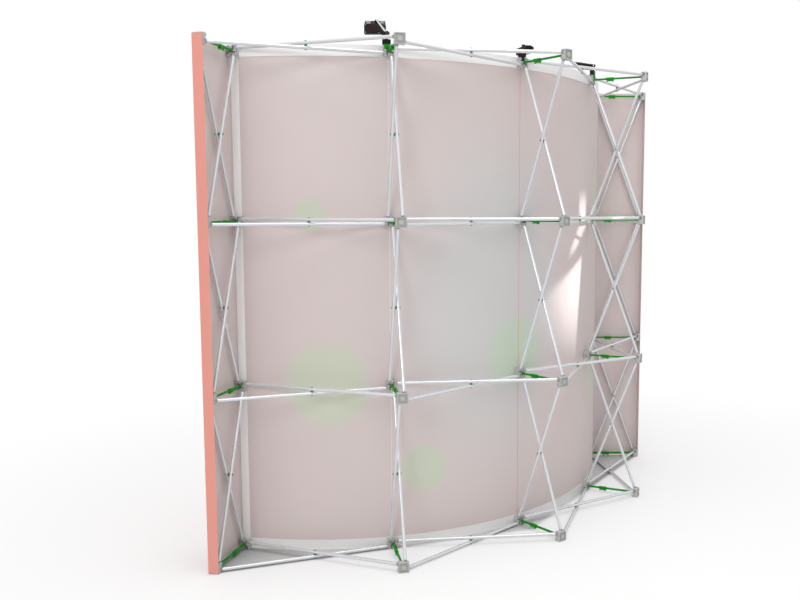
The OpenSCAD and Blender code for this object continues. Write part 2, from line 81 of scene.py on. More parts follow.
# The camera: its place, its turn and its tilt down, in radians, then its lens and shifts.
CAMERA_PLACE = (2.9186, 3.1854, 1.5388)
CAMERA_YAW = 0.7000
CAMERA_PITCH = 0.1056
CAMERA_LENS = 39.454
CAMERA_SENSOR = 36.0
CAMERA_SHIFT = (-0.07754, 0.00498)


def srgb(red, green, blue):
    """A colour as a screen shows it, 0 to 255, in the renderer's linear values."""
    channels = []
    for value in (red, green, blue):
        value /= 255
        channels.append(value / 12.92 if value <= 0.04045 else ((value + 0.055) / 1.055) ** 2.4)
    return tuple(channels)


def opaque(colour):
    return (*colour[:3], 1.0)


def shade(colour, factor):
    return tuple(channel * factor for channel in colour[:3])


def column_turn(column):
    """How far a column is turned about the curve's centre, from +Y towards +X."""
    return ((COLUMNS + 1) / 2 - column) * COLUMN_STEP


# ---- Materials ----
class Nodes:
    """A node tree, with short ways to add its nodes and feed their sockets."""

    def __init__(self, tree):
        self.tree = tree

    def node(self, kind, **settings):
        node = self.tree.nodes.new(kind)
        for name, value in settings.items():
            setattr(node, name, value)
        return node

    def feed(self, socket, value):
        if isinstance(value, bpy.types.NodeSocket):
            self.tree.links.new(value, socket)
        else:
            socket.default_value = value

    def math(self, operation, first, second=0.0, third=0.0):
        node = self.node("ShaderNodeMath", operation=operation)
        for socket, value in zip(node.inputs, (first, second, third)):
            self.feed(socket, value)
        return node.outputs[0]

    def length(self, first, second):
        """The length of the long side of a right-angled triangle."""
        return self.math("SQRT", self.math("ADD", self.math("MULTIPLY", first, first),
                                           self.math("MULTIPLY", second, second)))

    def between(self, value, low, high, from_low=0.0, from_high=1.0, smooth=False):
        """Maps a value between two limits to one between low and high, and holds it there."""
        node = self.node("ShaderNodeMapRange", interpolation_type="SMOOTHSTEP" if smooth else "LINEAR")
        for name, number in (("Value", value), ("From Min", from_low), ("From Max", from_high),
                             ("To Min", low), ("To Max", high)):
            self.feed(node.inputs[name], number)
        return node.outputs[0]

    def parts(self, vector):
        """A vector's X, Y and Z."""
        node = self.node("ShaderNodeSeparateXYZ")
        self.feed(node.inputs[0], vector)
        return node.outputs


class Finish(Nodes):
    """A material's node tree, built from its Principled shader back to the piece's own coordinates."""

    def __init__(self, name, colour, roughness, **sockets):
        self.material = bpy.data.materials.new(name)
        self.material.use_nodes = True
        self.material.diffuse_color = opaque(colour)
        super().__init__(self.material.node_tree)
        self.shader = self.tree.nodes["Principled BSDF"]
        self.shader.inputs["Base Color"].default_value = opaque(colour)
        self.shader.inputs["Roughness"].default_value = roughness
        for socket, value in sockets.items():
            self.shader.inputs[socket.replace("_", " ")].default_value = value
        self.colour = opaque(colour)
        self.roughness = roughness
        self.place = self.node("ShaderNodeTexCoord").outputs["Object"]

    def stretched(self, scale):
        node = self.node("ShaderNodeMapping")
        self.feed(node.inputs["Vector"], self.place)
        node.inputs["Scale"].default_value = scale
        return node.outputs[0]

    def noise(self, scale, detail=3.0, roughness=0.55, place=None):
        node = self.node("ShaderNodeTexNoise")
        self.feed(node.inputs["Vector"], place or self.place)
        node.inputs["Scale"].default_value = scale
        node.inputs["Detail"].default_value = detail
        node.inputs["Roughness"].default_value = roughness
        return node.outputs["Fac"]

    def mix(self, factor, first, second):
        """Mixes two colours, whose sockets are the seventh and eighth of a mix node."""
        node = self.node("ShaderNodeMix", data_type="RGBA")
        self.feed(node.inputs["Factor"], factor)
        self.feed(node.inputs[6], first)
        self.feed(node.inputs[7], second)
        return node.outputs[2]

    def tint(self, scale, amount):
        """Mottles the base colour by an amount, over patches of one size."""
        dark, light = opaque(shade(self.colour, 1 - amount)), opaque(shade(self.colour, 1 + amount))
        return self.mix(self.noise(scale), dark, light)

    def paint(self, colour):
        self.feed(self.shader.inputs["Base Color"], colour)

    def wander(self, noise, spread):
        """Lets the roughness wander about its value with a noise."""
        self.feed(self.shader.inputs["Roughness"],
                  self.between(noise, self.roughness - spread, self.roughness + spread, 0.3, 0.7))

    def gloss(self, scale, spread):
        """Lets the roughness wander over spots of one size."""
        self.wander(self.noise(scale), spread)

    def relief(self, height, strength, distance, normal=None):
        node = self.node("ShaderNodeBump")
        node.inputs["Strength"].default_value = strength
        node.inputs["Distance"].default_value = distance
        self.feed(node.inputs["Height"], height)
        if normal is not None:
            self.feed(node.inputs["Normal"], normal)
        self.feed(self.shader.inputs["Normal"], node.outputs[0])

    def nearest(self, value, step):
        """How far a value is from the nearest whole step."""
        whole = self.math("MULTIPLY", self.math("ROUND", self.math("DIVIDE", value, step)), step)
        return self.math("SUBTRACT", value, whole)

    def hub_place(self):
        """A place on the nearest hub: outward from the curve's centre, and off the hub's middle."""
        across, deep, height = self.parts(self.place)
        from_centre = self.math("ADD", deep, CURVE_CENTRE)
        radius = self.length(across, from_centre)
        turn = self.nearest(self.math("ARCTAN2", across, from_centre), COLUMN_STEP)
        outward = self.math("MULTIPLY", radius, self.math("COSINE", turn))
        aside = self.math("ABSOLUTE", self.math("MULTIPLY", radius, self.math("SINE", turn)))
        above = self.math("ABSOLUTE", self.nearest(
            self.math("SUBTRACT", height, HUB_SIZE / 2), ROW_PITCH))
        return outward, self.math("MAXIMUM", aside, above)

    def soft_edges(self, radius):
        """A normal that rounds sharp edges off."""
        node = self.node("ShaderNodeBevel", samples=4)
        node.inputs["Radius"].default_value = radius
        return node.outputs[0]


def moulded(name, colour, roughness, grain=900.0, edge=0.0008, shine=0.5,
            mottling=(60.0, 0.05), spots=(140.0, 0.06), bumps=0.12):
    """Moulded or coated: fine grain, faint mottling, spots of wear and softened edges."""
    finish = Finish(name, colour, roughness, Specular_IOR_Level=shine)
    finish.paint(finish.tint(*mottling))
    finish.gloss(*spots)
    finish.relief(finish.noise(grain, 2.0), bumps, 0.0002, finish.soft_edges(edge))
    return finish.material


def brushed(name, colour, roughness, metal=1.0):
    """Drawn or brushed metal: fine upright lines and slight stains."""
    finish = Finish(name, colour, roughness, Metallic=metal)
    lines = finish.noise(1.0, 2.0, place=finish.stretched((900.0, 900.0, 60.0)))
    finish.paint(finish.tint(35.0, 0.04))
    finish.wander(lines, 0.07)
    finish.relief(lines, 0.05, 0.0001, finish.soft_edges(0.0005))
    return finish.material


def dress(nodes, material):
    """Gives CAD nodes one material in all of their slots."""
    for name in nodes:
        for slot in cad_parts[name].material_slots:
            slot.material = material


def numbered(stem, count):
    return [f"{stem}{number}" for number in range(1, count + 1)]


def lever_names():
    return [f"lock_lever_c{c}_r{r}" for c in range(1, COLUMNS + 1) for r in range(1, ROWS + 1)]


# ---- Pieces ----
def finished_piece(mesh, name, material, body, bevel):
    """Turns a bmesh into a piece that rides on a body, with one material."""
    bmesh.ops.remove_doubles(mesh, verts=mesh.verts, dist=1e-6)
    bmesh.ops.recalc_face_normals(mesh, faces=mesh.faces)
    data = bpy.data.meshes.new(name)
    mesh.to_mesh(data)
    mesh.free()
    piece = bpy.data.objects.new(name, data)
    bpy.context.scene.collection.objects.link(piece)
    data.materials.append(material)
    if bevel:
        edges = piece.modifiers.new("rounded edges", "BEVEL")
        edges.width = bevel
        edges.segments = 2
        edges.limit_method = "ANGLE"
        edges.angle_limit = math.radians(35)
    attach(piece, body)


def add_block(mesh, low, high):
    """A box between two corners."""
    made = bmesh.ops.create_cube(mesh, size=1.0)["verts"]
    bmesh.ops.scale(mesh, vec=high - low, verts=made)
    bmesh.ops.translate(mesh, vec=(high + low) / 2, verts=made)


def add_rod(mesh, start, end, radius, sides, tip=None):
    """A closed rod between two points, tapered where it has a tip radius of its own."""
    start, end = Vector(start), Vector(end)
    length = (end - start).length
    made = bmesh.ops.create_cone(
        mesh, cap_ends=True, cap_tris=False, segments=sides,
        radius1=radius, radius2=radius if tip is None else tip, depth=length)["verts"]
    turn = Vector((0, 0, 1)).rotation_difference(end - start).to_matrix().to_4x4()
    bmesh.ops.transform(mesh, matrix=Matrix.Translation((start + end) / 2) @ turn, verts=made)


def add_prism(mesh, outline, push):
    """A closed prism: an outline of points, pushed along a vector. Returns both ends' vertices."""
    base = [mesh.verts.new(point) for point in outline]
    made = bmesh.ops.extrude_face_region(mesh, geom=[mesh.faces.new(base)], use_keep_orig=True)
    top = [one for one in made["geom"] if isinstance(one, bmesh.types.BMVert)]
    bmesh.ops.translate(mesh, vec=push, verts=top)
    return base + top


def add_turned(mesh, profile, sides=24):
    """A closed turned body. The profile is [along X, radius] and starts and ends on the axis."""
    points = [mesh.verts.new((x, radius, 0.0)) for x, radius in profile]
    edges = [mesh.edges.new(pair) for pair in zip(points, points[1:])]
    bmesh.ops.spin(mesh, geom=points + edges, cent=(0, 0, 0), axis=(1, 0, 0), dvec=(0, 0, 0),
                   angle=math.tau, steps=sides, use_merge=True, use_normal_flip=False,
                   use_duplicate=False)
    bmesh.ops.remove_doubles(mesh, verts=mesh.verts, dist=1e-7)


def neck_frame(number):
    """The frame of a lamp's neck, at its tilt axis: X along that axis, Z up."""
    turn = column_turn(number + 1)
    place = Vector((LAMP_ASIDE * math.cos(turn) + LAMP_RADIUS * math.sin(turn),
                    LAMP_RADIUS * math.cos(turn) - LAMP_ASIDE * math.sin(turn) - CURVE_CENTRE,
                    LAMP_AXIS))
    return Matrix.Translation(place) @ Matrix.Rotation(LAMP_TURNS[number - 1] - turn, 4, "Z")


def head_frame(number):
    """The frame of a lamp's head: X along the head, -Y where it shines, Z up its height."""
    return neck_frame(number) @ Matrix.Rotation(LAMP_LEANS[number - 1], 4, "X")


# ---- Settings ----
class LatticeFinishes(PropertyGroup):
    hub_colour: FloatVectorProperty(
        name="Hubs", description="Moulded grey of the hub blocks", subtype="COLOR", size=3,
        min=0, max=1, default=srgb(184, 184, 183))
    # Painted reflection: a green glint on the caps' edges is painted on every cap as a thin green
    # line.
    green_glint_colour: FloatVectorProperty(
        name="Cap rims", description="Thin green line round the hubs' caps", subtype="COLOR",
        size=3, min=0, max=1, default=srgb(146, 178, 146))
    tube_colour: FloatVectorProperty(
        name="Tubes", description="Satin anodised aluminium of the lattice tubes", subtype="COLOR",
        size=3, min=0, max=1, default=srgb(214, 216, 220))
    lock_colour: FloatVectorProperty(
        name="Locks", description="Green of the centre locks", subtype="COLOR", size=3,
        min=0, max=1, default=srgb(3, 134, 10))
    lever_colour: FloatVectorProperty(
        name="Levers", description="Lighter green of the release levers", subtype="COLOR", size=3,
        min=0, max=1, default=srgb(12, 152, 22))
    dark_clip_colour: FloatVectorProperty(
        name="Dark clip", description="Black of the middle lamp's clip", subtype="COLOR", size=3,
        min=0, max=1, default=srgb(18, 17, 17))
    edge_radius: FloatProperty(
        name="Edge radius", description="Softening of the hubs' edges", subtype="DISTANCE",
        unit="LENGTH", min=0.0, max=0.002, default=0.0008)


class PrintedFilm(PropertyGroup):
    front_colour: FloatVectorProperty(
        name="Front", description="Coral of the printed face", subtype="COLOR", size=3,
        min=0, max=1, default=srgb(230, 152, 138))
    back_colour: FloatVectorProperty(
        name="Back", description="Unprinted back of the film", subtype="COLOR", size=3,
        min=0, max=1, default=srgb(212, 199, 197))
    disc_colour: FloatVectorProperty(
        name="Discs", description="Green of the soft discs in the print", subtype="COLOR", size=3,
        min=0, max=1, default=srgb(160, 232, 150))
    pale_colour: FloatVectorProperty(
        name="Pale field", description="Pale field in the middle of the print", subtype="COLOR",
        size=3, min=0, max=1, default=srgb(186, 220, 226))
    rail_colour: FloatVectorProperty(
        name="Rails", description="Off-white of the rails and the magnet bars", subtype="COLOR",
        size=3, min=0, max=1, default=srgb(237, 236, 235))
    show_through: FloatProperty(
        name="Show through", description="How strongly the print shows on the back",
        subtype="FACTOR", min=0, max=1, default=0.21)
    edge_margin: FloatProperty(
        name="Edge margin", description="Width of the coral edge that is folded to the back",
        subtype="DISTANCE", unit="LENGTH", min=0, max=0.02, default=0.0016)


class LampParts(PropertyGroup):
    housing_colour: FloatVectorProperty(
        name="Housing", description="Black enamel of the lamps", subtype="COLOR", size=3,
        min=0, max=1, default=srgb(11, 10, 10))
    plate_colour: FloatVectorProperty(
        name="Back plate", description="Brown-black plate on the back of a lamp", subtype="COLOR",
        size=3, min=0, max=1, default=srgb(34, 10, 9))
    # Partly painted highlight: the grey vent plates stand where the lamps' sloping tops show two pale
    # highlights.
    vent_and_highlight_colour: FloatVectorProperty(
        name="Vents", description="Grey of the vent plates", subtype="COLOR", size=3,
        min=0, max=1, default=srgb(150, 149, 148))
    arm_colour: FloatVectorProperty(
        name="Arms", description="Pale metal of the arms and straps", subtype="COLOR", size=3,
        min=0, max=1, default=srgb(208, 204, 196))
    head_width: FloatProperty(
        name="Head width", description="Width of a lamp's head", subtype="DISTANCE", unit="LENGTH",
        min=0.06, max=0.2, default=0.092)
    head_height: FloatProperty(
        name="Head height", description="Height of a lamp's head", subtype="DISTANCE",
        unit="LENGTH", min=0.045, max=0.1, default=0.054)
    head_depth: FloatProperty(
        name="Head depth", description="Depth of a lamp's head", subtype="DISTANCE", unit="LENGTH",
        min=0.02, max=0.06, default=0.030)
    bulb_radius: FloatProperty(
        name="Bulb radius", description="Radius of the tubular bulb", subtype="DISTANCE",
        unit="LENGTH", min=0.002, max=0.006, default=0.0035)


class StudioSet(PropertyGroup):
    floor_colour: FloatVectorProperty(
        name="Floor", description="Pale floor", subtype="COLOR", size=3, min=0, max=1,
        default=srgb(246, 246, 246))
    sky_strength: FloatProperty(
        name="Sky", description="Strength of the even light from all round", min=0, max=2,
        default=0.52)
    floor_glow: FloatProperty(
        name="Floor glow", description="How far the floor near the object is washed out to white",
        subtype="FACTOR", min=0, max=1, default=0.42)
    fade_distance: FloatProperty(
        name="Fade distance", description="Where the floor has faded into the background",
        subtype="DISTANCE", unit="LENGTH", min=3, max=20, default=3.7)
    # Painted shade on the floor: how far from a wall or tube it reaches, and how dark it gets.
    painted_shade_reach: FloatProperty(
        name="Nook reach", description="How far off a wall still darkens the floor beside it",
        subtype="DISTANCE", unit="LENGTH", min=0.01, max=2, default=0.45)
    painted_shade_depth: FloatProperty(
        name="Nook depth", description="How much the floor darkens in corners and under tubes",
        min=0, max=4, default=0.95)
    glow_power: FloatProperty(
        name="Glow", description="Power of the two spots that lay a glow on the film",
        subtype="POWER", unit="POWER", min=0, max=500, default=53)
    key_power: FloatProperty(
        name="Key light", description="Power of the large key light", subtype="POWER",
        unit="POWER", min=0, max=2000, default=190)
    top_power: FloatProperty(
        name="Top light", description="Power of the wide light overhead", subtype="POWER",
        unit="POWER", min=0, max=3000, default=270)


# ---- Operators ----
class BACKWALL_OT_finish_hubs(Operator):
    """Finish the hubs, their caps, magnets and pins"""

    bl_idname = "backwall.finish_hubs"
    bl_label = "Finish the hubs"

    def execute(self, context):
        look = context.scene.lattice_finishes
        rim_width, recess_middle, recess_half, green_glint_start = 0.0038, 0.002, 0.0014, 0.0093
        hub = Finish("hub plastic", look.hub_colour, 0.42)
        outward, off_middle = hub.hub_place()
        # Painted shade: the floor of each hub's recess is painted darker, standing in for the shade in
        # the recess.
        recess_shade = hub.math("MULTIPLY", hub.math("LESS_THAN", off_middle, HUB_SIZE / 2 - rim_width),
                          hub.math("COMPARE", outward, REAR_FACE - recess_middle, recess_half))
        hub.paint(hub.mix(recess_shade, hub.tint(60.0, 0.04), opaque(shade(look.hub_colour, 0.80))))
        hub.gloss(140.0, 0.06)
        hub.relief(hub.noise(900.0, 2.0), 0.12, 0.0002, hub.soft_edges(look.edge_radius))
        dress(["front_hubs", "rear_hubs"], hub.material)
        cap = Finish("cap plastic", look.hub_colour, 0.38)
        off_middle = cap.hub_place()[1]
        # Painted reflection: a thin green line round each cap stands in for the green glint on the
        # caps' edges.
        green_glint = cap.math("GREATER_THAN", off_middle, green_glint_start)
        cap.paint(cap.mix(green_glint, cap.tint(60.0, 0.04), opaque(look.green_glint_colour)))
        cap.gloss(140.0, 0.05)
        cap.relief(cap.noise(900.0, 2.0), 0.1, 0.0002)
        dress(["rear_hub_caps"], cap.material)
        dress(["hub_magnets"], brushed("magnet nickel", (0.55, 0.55, 0.56), 0.22))
        dress(["hub_pins"], moulded("pin plastic", shade(look.lock_colour, 0.5), 0.4))
        dress(["tube_end_fittings"], moulded("fitting plastic", shade(look.hub_colour, 0.8), 0.45))
        return {"FINISHED"}


class BACKWALL_OT_finish_tubes(Operator):
    """Finish the lattice tubes, their rivets and spacer washers"""

    bl_idname = "backwall.finish_tubes"
    bl_label = "Finish the tubes"

    def execute(self, context):
        look = context.scene.lattice_finishes
        tube = Finish("anodised tube", look.tube_colour, 0.24, Metallic=0.4, Coat_Weight=0.8,
                      Coat_Roughness=0.12, Coat_IOR=1.7)
        tube.paint(tube.tint(9.0, 0.025))
        tube.gloss(300.0, 0.04)
        tube.relief(tube.noise(2200.0, 1.0), 0.03, 0.0001)
        dress(["cross_tubes", "ladder_tubes"], tube.material)
        dress(["scissor_rivets"], brushed("rivet steel", srgb(120, 122, 122), 0.35, 0.8))
        dress(["scissor_washers"], moulded("washer plastic", look.lock_colour, 0.45))
        return {"FINISHED"}


class BACKWALL_OT_finish_locks(Operator):
    """Finish the centre locks and their release levers"""

    bl_idname = "backwall.finish_locks"
    bl_label = "Finish the locks"

    def execute(self, context):
        look = context.scene.lattice_finishes
        middle_reach = 0.1
        clip = Finish("clip plastic", look.lock_colour, 0.42, Specular_IOR_Level=0.2)
        aside = clip.math("ABSOLUTE", clip.parts(clip.place)[0])
        on_middle = clip.math("LESS_THAN", aside, middle_reach)
        clip.paint(clip.mix(on_middle, clip.tint(60.0, 0.05), opaque(look.dark_clip_colour)))
        clip.gloss(140.0, 0.05)
        clip.relief(clip.noise(900.0, 2.0), 0.12, 0.0002, clip.soft_edges(0.0006))
        dress(["lamp_clips"], clip.material)
        dress(["lock_arms_front", "lock_arms_rear"],
              moulded("lock plastic", look.lock_colour, 0.42, edge=0.0006, shine=0.2))
        dress(lever_names(), moulded("lever plastic", look.lever_colour, 0.42, edge=0.0006,
                                     shine=0.2))
        dress(["lock_lever_pins"], brushed("lever pin steel", (0.55, 0.56, 0.57), 0.25))
        return {"FINISHED"}


def film_finish(name, look):
    """Coated film. Returns its finish and where it is: across, back from the centre, and height."""
    finish = Finish(name, look.front_colour, 0.5, Coat_Weight=0.12, Coat_Roughness=0.3)
    across, deep, height = finish.parts(finish.place)
    from_centre = finish.math("ADD", deep, CURVE_CENTRE)
    finish.gloss(30.0, 0.05)
    finish.relief(finish.noise(700.0, 2.0), 0.05, 0.0002)
    return finish, across, from_centre, height


def soft_disc(finish, along, height, clouds, x, z, radius):
    """A round patch of print with a ragged, soft edge: 1 inside, 0 outside."""
    softness, raggedness = 0.4 * radius, RAGGEDNESS * radius
    distance = finish.length(finish.math("SUBTRACT", along, x), finish.math("SUBTRACT", height, z))
    ragged = finish.math("MULTIPLY_ADD", clouds, raggedness,
                         finish.math("SUBTRACT", distance, raggedness / 2))
    return finish.between(ragged, 1.0, 0.0, radius - softness, radius, smooth=True)


class BACKWALL_OT_finish_panels(Operator):
    """Print the front panels and finish their rails and the magnet bars"""

    bl_idname = "backwall.finish_panels"
    bl_label = "Finish the panels"

    def execute(self, context):
        look = context.scene.printed_film
        dress(numbered("front_panel_", COLUMNS - 1), self.film(look))
        dress(numbered("panel_rails_", COLUMNS - 1),
              moulded("rail plastic", look.rail_colour, 0.34, grain=800.0, edge=0.0005,
                      mottling=(8.0, 0.02), spots=(60.0, 0.05), bumps=0.06))
        dress(["magnet_bars"],
              moulded("bar enamel", shade(look.rail_colour, 1.11), 0.4, grain=500.0, edge=0.0005,
                      mottling=(12.0, 0.02), spots=(90.0, 0.05), bumps=0.08))
        return {"FINISHED"}

    def film(self, look):
        """Printed on the inside of the curve, with a coral edge and a faint print on its back."""
        finish, across, from_centre, height = film_finish("panel film", look)
        along = finish.math("MULTIPLY", finish.math("ARCTAN2", across, from_centre), FILM_INNER)
        clouds = finish.noise(1.6, 4.0)
        discs = 0.0
        for x, z, radius in DISCS:
            discs = finish.math("MAXIMUM", discs,
                                soft_disc(finish, along, height, clouds, x, z, radius))
        pale = self.oval(finish, along, height, clouds)
        printed = finish.mix(pale, finish.tint(3.0, 0.03), opaque(look.pale_colour))
        printed = finish.mix(discs, printed, opaque(look.disc_colour))
        back = finish.mix(finish.noise(2.5, 3.0), opaque(shade(look.back_colour, 0.975)),
                          opaque(shade(look.back_colour, 1.02)))
        for form, colour in ((pale, look.pale_colour), (discs, look.disc_colour)):
            back = finish.mix(finish.math("MULTIPLY", form, look.show_through), back, opaque(colour))
        inner_seam = finish.math("LESS_THAN", finish.math("ABSOLUTE", along), look.edge_margin)
        back = finish.mix(inner_seam, back, opaque(look.front_colour))
        is_back = finish.math("GREATER_THAN", finish.length(across, from_centre),
                              (FILM_INNER + 2 * FILM_OUTER) / 3)
        finish.paint(finish.mix(is_back, printed, back))
        return finish.material

    def oval(self, finish, along, height, clouds):
        """The pale field in the middle of the print: 1 inside, 0 outside."""
        x, z, half_width, half_height = OVAL
        fade_start, fade_end = 0.62, 1.22
        wide = finish.math("DIVIDE", finish.math("SUBTRACT", along, x), half_width)
        high = finish.math("DIVIDE", finish.math("SUBTRACT", height, z), half_height)
        ragged = finish.math("MULTIPLY_ADD", clouds, RAGGEDNESS, finish.length(wide, high))
        return finish.between(ragged, 1.0, 0.0, fade_start, fade_end, smooth=True)


class BACKWALL_OT_finish_end_panels(Operator):
    """Finish the wrapped end panels, coral outside and pale inside"""

    bl_idname = "backwall.finish_end_panels"
    bl_label = "Finish the end panels"

    def execute(self, context):
        look = context.scene.printed_film
        for node, column, side in (("end_panel_left", 1, 1), ("end_panel_right", COLUMNS, -1)):
            finish, across, from_centre, _ = film_finish(node.replace("_", " ") + " film", look)
            turn = column_turn(column)
            sine, cosine = math.sin(turn), math.cos(turn)
            aside = finish.math("SUBTRACT", finish.math("MULTIPLY", across, cosine * side),
                                finish.math("MULTIPLY", from_centre, sine * side))
            outward = finish.math("ADD", finish.math("MULTIPLY", across, sine),
                                  finish.math("MULTIPLY", from_centre, cosine))
            middle, half = (FILM_INNER + END_REAR) / 2, (END_REAR - FILM_INNER) / 2
            over = finish.math("SUBTRACT", aside, END_SIDE - END_CORNER)
            beyond = finish.math("SUBTRACT", finish.math("ABSOLUTE", finish.math(
                "SUBTRACT", outward, middle)), half - END_CORNER)
            corner = finish.length(finish.math("MAXIMUM", over, 0.0),
                                   finish.math("MAXIMUM", beyond, 0.0))
            flat = finish.math("MINIMUM", finish.math("MAXIMUM", over, beyond), 0.0)
            depth = finish.math("SUBTRACT", END_CORNER, finish.math("ADD", corner, flat))
            inside = finish.math("GREATER_THAN", depth, FILM_THICKNESS / 2)
            back = finish.mix(finish.noise(2.5, 3.0), opaque(look.back_colour),
                              opaque(shade(look.back_colour, 1.04)))
            finish.paint(finish.mix(inside, finish.tint(3.0, 0.03), back))
            dress([node], finish.material)
        return {"FINISHED"}


class BACKWALL_OT_build_lamps(Operator):
    """Build the lamps' plates, vents, reflectors, bulbs, screws, knobs and rings"""

    bl_idname = "backwall.build_lamps"
    bl_label = "Build the lamps"

    def execute(self, context):
        look = context.scene.lamp_parts
        enamel = moulded("lamp enamel", look.housing_colour, 0.45, grain=1400.0, edge=0.0006,
                         shine=0.18)
        plate = moulded("lamp plate", look.plate_colour, 0.55, grain=1800.0, edge=0.0004, shine=0.18)
        vent = brushed("vent metal", look.vent_and_highlight_colour, 0.42, 0.6)
        mirror = brushed("reflector aluminium", srgb(226, 227, 229), 0.16)
        steel = brushed("screw steel", srgb(150, 150, 150), 0.3)
        quartz = self.clear_finish("bulb quartz", (0.95, 0.95, 0.93), 0.05, 0.8, 1.46,
                                   gloss=(300.0, 0.03), relief=(90.0, 1.0, 0.05, 0.0002))
        glass = self.clear_finish("lamp glass", (0.92, 0.94, 0.94), 0.18, 0.9, 1.45,
                                  gloss=(500.0, 0.06), relief=(260.0, 2.0, 0.12, 0.0004))
        dress(numbered("lamp_lens_", LAMPS), glass)
        dress(["lamp_bases"] + numbered("lamp_neck_", LAMPS) + numbered("lamp_head_", LAMPS), enamel)
        for number in range(1, LAMPS + 1):
            dress([f"lamp_arm_{number}"], self.arm_finish(number, look))
            head, neck = f"lamp_head_{number}", f"lamp_neck_{number}"
            for stem, build, place, body, material, slot, bevel in (
                    ("lamp_plate_", self.plate, head_frame, head, plate, "lamp_black", 0.0004),
                    ("lamp_vents_", self.vents, head_frame, head, vent, "lamp_arm", 0.0),
                    ("lamp_reflector_", self.reflector, head_frame, head, mirror, "lamp_arm", 0.0),
                    ("lamp_bulb_", self.bulb, head_frame, head, quartz, "lamp_glass", 0.0),
                    ("lamp_screws_", self.screws, head_frame, head, steel, "lamp_arm", 0.0003),
                    ("lamp_knob_", self.knob, head_frame, head, enamel, "lamp_black", 0.0005),
                    ("lamp_ring_", self.ring, neck_frame, neck, enamel, "lamp_black", 0.0003)):
                mesh = bmesh.new()
                build(mesh, look)
                bmesh.ops.transform(mesh, matrix=place(number), verts=mesh.verts)
                finished_piece(mesh, f"{stem}{number}", material, body, bevel)
        return {"FINISHED"}

    def clear_finish(self, name, colour, roughness, clearness, refraction, gloss, relief):
        """Glass, with the scale and spread of its gloss, and the noise and height of its relief."""
        finish = Finish(name, colour, roughness, Transmission_Weight=clearness, IOR=refraction)
        finish.gloss(*gloss)
        scale, detail, strength, height = relief
        finish.relief(finish.noise(scale, detail), strength, height)
        return finish.material

    def arm_finish(self, number, look):
        """Pale metal, coated black round the pivot and up the foot of the strap."""
        coat_top = 0.0165
        frame_of_head = head_frame(number)
        finish = Finish(f"lamp arm {number}", look.arm_colour, 0.5, Metallic=0.2)
        off = finish.node("ShaderNodeVectorMath", operation="SUBTRACT")
        finish.feed(off.inputs[0], finish.place)
        finish.feed(off.inputs[1], frame_of_head.to_translation())
        up = finish.node("ShaderNodeVectorMath", operation="DOT_PRODUCT")
        finish.feed(up.inputs[0], off.outputs[0])
        finish.feed(up.inputs[1], frame_of_head.col[2].to_3d())
        coated = finish.math("LESS_THAN", up.outputs["Value"], coat_top)
        finish.paint(finish.mix(coated, finish.tint(35.0, 0.04), opaque(look.housing_colour)))
        finish.gloss(200.0, 0.05)
        finish.relief(finish.noise(1200.0, 2.0), 0.05, 0.0001, finish.soft_edges(0.0005))
        return finish.material

    def plate(self, mesh, look):
        """The plate on the back, beside the strap, with a raised middle."""
        low, high = LAMP_STAND + 0.0055, LAMP_STAND + 0.0345
        near, top_near, far = 0.013, 0.054, look.head_width - 0.004
        thickness, raised, skin = 0.0007, 0.0005, 0.00005
        foot_inset, inset, border = 0.012, 0.004, 0.003
        back = look.head_depth / 2 + skin
        add_prism(mesh, [(near, back, low), (far, back, low), (far, back, high),
                         (top_near, back, high)], (0, thickness, 0))
        face = back + thickness + 0.00002
        add_prism(mesh, [(near + foot_inset, face, low + border), (far - inset, face, low + border),
                         (far - inset, face, high - border), (top_near + inset, face, high - border)],
                  (0, raised, 0))

    def vents(self, mesh, look):
        """Two louvred vent plates on the sloping top edge, whose grey also stands in for highlights
        there.
        """
        slope_depth, slope_height = 0.009, 0.015
        foot = Vector((0, look.head_depth / 2, LAMP_STAND + look.head_height - slope_height))
        along = Vector((0, -slope_depth, slope_height)).normalized()
        out = Vector((0, slope_height, slope_depth)).normalized()
        slats, start, pitch, slat_height = 5, 0.0022, 0.0028, 0.0021
        skin, thickness, lift = 0.00005, 0.0008, 0.0006
        half_width = Vector((0.0095, 0, 0))
        for centre in (0.017, 0.076):
            for slat in range(slats):
                low = foot + along * (start + pitch * slat) + out * skin + Vector((centre, 0, 0))
                high = low + along * slat_height
                made = add_prism(mesh, [low - half_width, low + half_width, high + half_width,
                                        high - half_width], out * thickness)
                bmesh.ops.translate(mesh, vec=out * lift, verts=made[4:6])

    def reflector(self, mesh, look):
        """A curved trough behind the bulb, with a plate across it at each end."""
        steps, mouth, bow, thickness = 14, -0.0044, 0.0078, 0.0007
        near, far = 0.0117, look.head_width - 0.0077
        ends, end_offset, end_thickness = (near + 0.0008, far - 0.0012), 0.0008, 0.0005
        middle = LAMP_STAND + look.head_height / 2
        reach = look.head_height / 2 - 0.0102
        places = [-1 + 2 * step / steps for step in range(steps + 1)]
        curve = [(mouth - bow * place * place, middle + reach * place) for place in places]
        outline = [(near, y, z) for y, z in curve]
        outline += [(near, y - thickness, z) for y, z in reversed(curve)]
        add_prism(mesh, outline, (far - near, 0, 0))
        for x in ends:
            add_prism(mesh, [(x, y - end_offset, z) for y, z in curve[1:-1]], (end_thickness, 0, 0))

    def bulb(self, mesh, look):
        """A tubular bulb with pinched seals and a cap at each end."""
        start, end, depth = 0.021, look.head_width - 0.017, -0.0092
        # Distances from an end and radii: the cap, the seal and the shoulder.
        half = ((0.0, 0.0), (0.0, 0.003), (0.005, 0.003), (0.0055, 0.0018), (0.008, 0.0022),
                (0.011, look.bulb_radius))
        add_turned(mesh, [(start + inward, radius) for inward, radius in half]
                   + [(end - inward, radius) for inward, radius in reversed(half)])
        bmesh.ops.translate(mesh, verts=mesh.verts,
                            vec=(0, depth, LAMP_STAND + look.head_height / 2))

